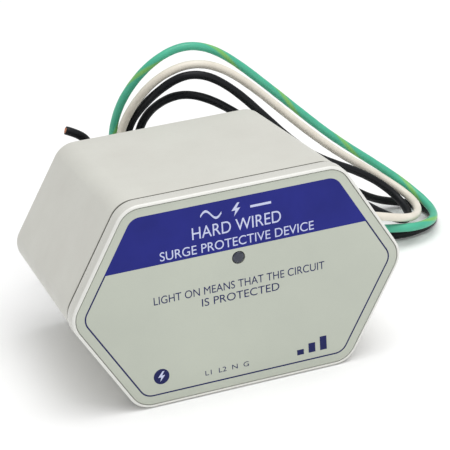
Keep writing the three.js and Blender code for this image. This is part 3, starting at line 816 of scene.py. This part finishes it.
def window_mesh():
    """The domed window, with a collar that seats behind the cover."""
    face_y = LABEL_Y
    seat_y = FRONT_Y + RECESS_DEPTH + COVER_WALL + GAP
    return mesh_of("window_lens", *lathe([
        (0, face_y - 0.12), (0.8, face_y - 0.1), (1.5, face_y - 0.02), (WINDOW_RADIUS - 0.25, face_y + 0.1),
        (WINDOW_RADIUS - 0.05, face_y + 0.25), (WINDOW_RADIUS, face_y + 0.5), (WINDOW_RADIUS, seat_y),
        (3.5, seat_y), (3.6, seat_y + 0.1), (3.6, seat_y + 1.1), (3.5, seat_y + 1.2), (0, seat_y + 1.2),
    ], 0, WINDOW_Z, 48))


add("window_lens", window_mesh(), "lens", stands_for=["status_window"])

# ---- nipple, washer, locknut and seal ----

THREAD_SIDES = 72


def threaded(radius_at, begin, finish):
    """Rings of a thread: its flanks follow a helix of the thread's pitch."""
    rings = []
    steps = int((finish - begin) / (THREAD_PITCH / 8))
    for i in range(steps + 1):
        y = begin + (finish - begin) * i / steps
        ring = []
        for j in range(THREAD_SIDES):
            angle = 2 * math.pi * j / THREAD_SIDES
            phase = (y / THREAD_PITCH - angle / (2 * math.pi)) % 1
            crest = max(0.0, min(1.0, 2.6 * (0.5 - abs(phase - 0.5)) - 0.15))
            radius = radius_at(y, crest)
            ring.append((radius * math.cos(angle), y, CENTRE_Z + radius * math.sin(angle)))
        rings.append(ring)
    return rings


def round_ring(radius, y):
    return [(radius * math.cos(2 * math.pi * j / THREAD_SIDES), y,
             CENTRE_Z + radius * math.sin(2 * math.pi * j / THREAD_SIDES)) for j in range(THREAD_SIDES)]


def nipple_mesh():
    """The nipple: its flange inside the housing, and a thread that fades at both ends."""
    flange_y = REAR_Y - REAR_WALL - GAP - NIPPLE_FLANGE_THICKNESS
    shoulder_y = flange_y + NIPPLE_FLANGE_THICKNESS
    root = NIPPLE_RADIUS - THREAD_DEPTH

    def radius_at(y, crest):
        fade = min(1.0, max(0.0, (y - REAR_Y) / 1.5)) * min(1.0, max(0.0, (NIPPLE_TIP_Y - 0.3 - y) / 1.8))
        start = min(1.0, max(0.0, (REAR_Y + 1.5 - y) / 1.5))
        return root + (THREAD_DEPTH * crest) * fade + THREAD_DEPTH * start * 0.9

    rings = [round_ring(r, y) for r, y in (
        (NIPPLE_BORE, flange_y + 0.4), (NIPPLE_BORE + 0.4, flange_y),
        (NIPPLE_FLANGE_RADIUS - 0.5, flange_y),
        (NIPPLE_FLANGE_RADIUS, flange_y + 0.5), (NIPPLE_FLANGE_RADIUS, shoulder_y - 0.3),
        (NIPPLE_FLANGE_RADIUS - 0.3, shoulder_y), (NIPPLE_RADIUS, shoulder_y),
        (NIPPLE_RADIUS, REAR_Y - 0.4))]
    rings += threaded(radius_at, REAR_Y, NIPPLE_TIP_Y - 0.4)
    rings += [round_ring(r, y) for r, y in (
        (root - 0.3, NIPPLE_TIP_Y), (NIPPLE_BORE + 0.3, NIPPLE_TIP_Y), (NIPPLE_BORE, NIPPLE_TIP_Y - 0.3))]
    return mesh_of("nipple_thread", *skin(rings, loop=True), 30)


def washer_mesh():
    """The flat sealing washer, with a bulged rim."""
    front, back = REAR_Y + GAP, REAR_Y + GAP + WASHER_THICKNESS
    bore = NIPPLE_RADIUS + GAP
    profile = [(bore + 0.15, front), (WASHER_RADIUS - 0.5, front), (WASHER_RADIUS - 0.12, front + 0.25),
               (WASHER_RADIUS, front + 0.8), (WASHER_RADIUS - 0.12, back - 0.25),
               (WASHER_RADIUS - 0.5, back),
               (bore + 0.15, back), (bore, back - 0.2), (bore, front + 0.2)]
    return mesh_of("washer_ring", *lathe(profile, steps=96, loop=True))


def nut_mesh():
    """The locknut: eight lugs with rounded shoulders, a chamfered face and a threaded bore."""
    front = REAR_Y + 2 * GAP + WASHER_THICKNESS
    back = front + NUT_THICKNESS
    sides = 144

    def outline(shrink, y):
        ring = []
        for j in range(sides):
            angle = 2 * math.pi * j / sides
            share = (angle * NUT_LUGS / (2 * math.pi)) % 1
            rise = min(1.0, max(0.0, (0.27 - abs(share - 0.25)) / 0.06 + 0.5))
            rise = rise * rise * (3 - 2 * rise)
            radius = NUT_ROOT_RADIUS + (NUT_RADIUS - NUT_ROOT_RADIUS) * rise - shrink
            ring.append((radius * math.cos(angle), y, CENTRE_Z + radius * math.sin(angle)))
        return ring

    def bore(radius, y, depth=0.0):
        ring = []
        for j in range(sides):
            angle = 2 * math.pi * j / sides
            phase = (y / THREAD_PITCH - angle / (2 * math.pi)) % 1
            wide = radius + depth * abs(2 * phase - 1)
            ring.append((wide * math.cos(angle), y, CENTRE_Z + wide * math.sin(angle)))
        return ring

    clear = NIPPLE_RADIUS + 0.12
    rings = [outline(0.6, front), outline(0.15, front + 0.15), outline(0, front + 0.5),
             outline(0, back - 0.7), outline(0.2, back - 0.2), outline(0.8, back),
             bore(clear + 1.3, back), bore(clear + 0.9, back - 0.4)]
    steps = 14
    for i in range(steps + 1):
        rings.append(bore(clear, back - 0.5 - (NUT_THICKNESS - 1) * i / steps, 0.8))
    rings += [bore(clear + 0.9, front + 0.3), bore(clear + 1.2, front)]
    return mesh_of("locknut_steel", *skin(rings, loop=True), 30)


def seal_mesh():
    """The resin in the nipple's mouth, drawn up round each lead."""
    radius = NIPPLE_BORE - GAP
    parts = [lathe([
        (0, NIPPLE_TIP_Y - SEAL_DEPTH), (radius, NIPPLE_TIP_Y - SEAL_DEPTH), (radius, NIPPLE_TIP_Y - 0.2),
        (radius - 0.4, NIPPLE_TIP_Y + 0.1), (radius - 2, NIPPLE_TIP_Y + 0.3),
        (radius / 2, NIPPLE_TIP_Y + SEAL_CROWN * 0.8), (0, NIPPLE_TIP_Y + SEAL_CROWN)])]
    for side in (-1, 1):
        for rise in (-1, 1):
            parts.append(lathe([
                (3.2, NIPPLE_TIP_Y), (2.9, NIPPLE_TIP_Y + 0.7), (2.3, NIPPLE_TIP_Y + 1.1),
                (1.95, NIPPLE_TIP_Y + 1.7), (1.8, NIPPLE_TIP_Y + 2.3), (1.6, NIPPLE_TIP_Y + 2.3),
                (1.6, NIPPLE_TIP_Y)], side * LEAD_SPACING, CENTRE_Z + rise * LEAD_SPACING, 36, True))
    return mesh_of("seal_resin_plug", *joined(parts))


add("nipple_thread", nipple_mesh(), "thread", stands_for=["conduit_nipple"])
add("washer_ring", washer_mesh(), "washer", "washer", ["nut_washer"])
add("locknut_steel", nut_mesh(), "zinc", "locknut", ["locknut"])
add("seal_resin_plug", seal_mesh(), "seal", stands_for=["lead_seal"])

# ---- finishes of the pieces that keep the frame's own shape ----

KEPT = {
    "cover_gasket": "gasket", "status_led": "led", "circuit_board": "board",
    "filter_capacitor": "capacitor", "led_resistor": "resistor",
    "inner_wire_1": "white", "inner_wire_2": "green", "inner_wire_3": "black", "inner_wire_4": "black",
}
KEPT.update({f"board_screw_{i}": "zinc" for i in range(1, 5)})
KEPT.update({f"varistor_{i}": "varistor" for i in range(1, 7)})
KEPT.update({f"thermal_fuse_{i}": "fuse" for i in (1, 2)})
KEPT.update({f"lead_terminal_{i}": "tin" for i in range(1, 5)})
for node, look in KEPT.items():
    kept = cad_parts[node]
    kept.data.materials.clear()
    kept.data.materials.append(LOOKS[look])

# ---- floor and light ----

FLOOR_SLOPE = 0.0383
FLOOR_START_Y = -44
FLOOR_REACH = 9000
FLOOR_CELLS = 24
WORLD_STRENGTH = 0.62

# Each softbox: where it hangs and how wide it is, in metres, and its power in watts.
SOFTBOXES = {
    "key": ((0.25, -0.35, 1.9), 1.6, 24),
    "fill": ((0.6, -1.5, 0.7), 1.0, 3),
}
LIGHT_AIM = (0, 0, 0.04)


def floor():
    """The level surface it stands on, as the tilted device sees it."""
    f = Finish("floor_look")
    tone = f.mix(f.spread(f.noise(3, 2), 0.3, 0.7), (0.97, 0.97, 0.97), (0.95, 0.95, 0.95))
    look = f.set(Base_Color=tone, Roughness=0.9, Specular_IOR_Level=0.1)
    across = FLOOR_CELLS + 1
    points = []
    faces = []
    for i in range(across):
        for j in range(across):
            x, y = ((k / FLOOR_CELLS - 0.5) * 2 * FLOOR_REACH for k in (i, j))
            points.append((x, y, (y - FLOOR_START_Y) * FLOOR_SLOPE))
    for i in range(FLOOR_CELLS):
        for j in range(FLOOR_CELLS):
            corner = i * across + j
            faces.append((corner, corner + across, corner + across + 1, corner + 1))
    piece = link("floor", mesh_of("floor", points, faces))
    piece.data.materials.append(look)


def softbox(name, place, width, power):
    data = bpy.data.lights.new(name, "AREA")
    data.shape = "SQUARE"
    data.size = width
    data.energy = power
    light = bpy.data.objects.new(name, data)
    bpy.context.scene.collection.objects.link(light)
    light.location = place
    light.rotation_mode = "QUATERNION"
    light.rotation_quaternion = (Vector(LIGHT_AIM) - Vector(place)).to_track_quat("-Z", "Y")


def lights():
    world = bpy.data.worlds.new("studio")
    world.use_nodes = True
    background = world.node_tree.nodes["Background"]
    background.inputs["Color"].default_value = (1, 1, 1, 1)
    background.inputs["Strength"].default_value = WORLD_STRENGTH
    bpy.context.scene.world = world
    bpy.context.scene.view_settings.view_transform = "Standard"
    for name, (place, width, power) in SOFTBOXES.items():
        softbox(name, place, width, power)


floor()
lights()
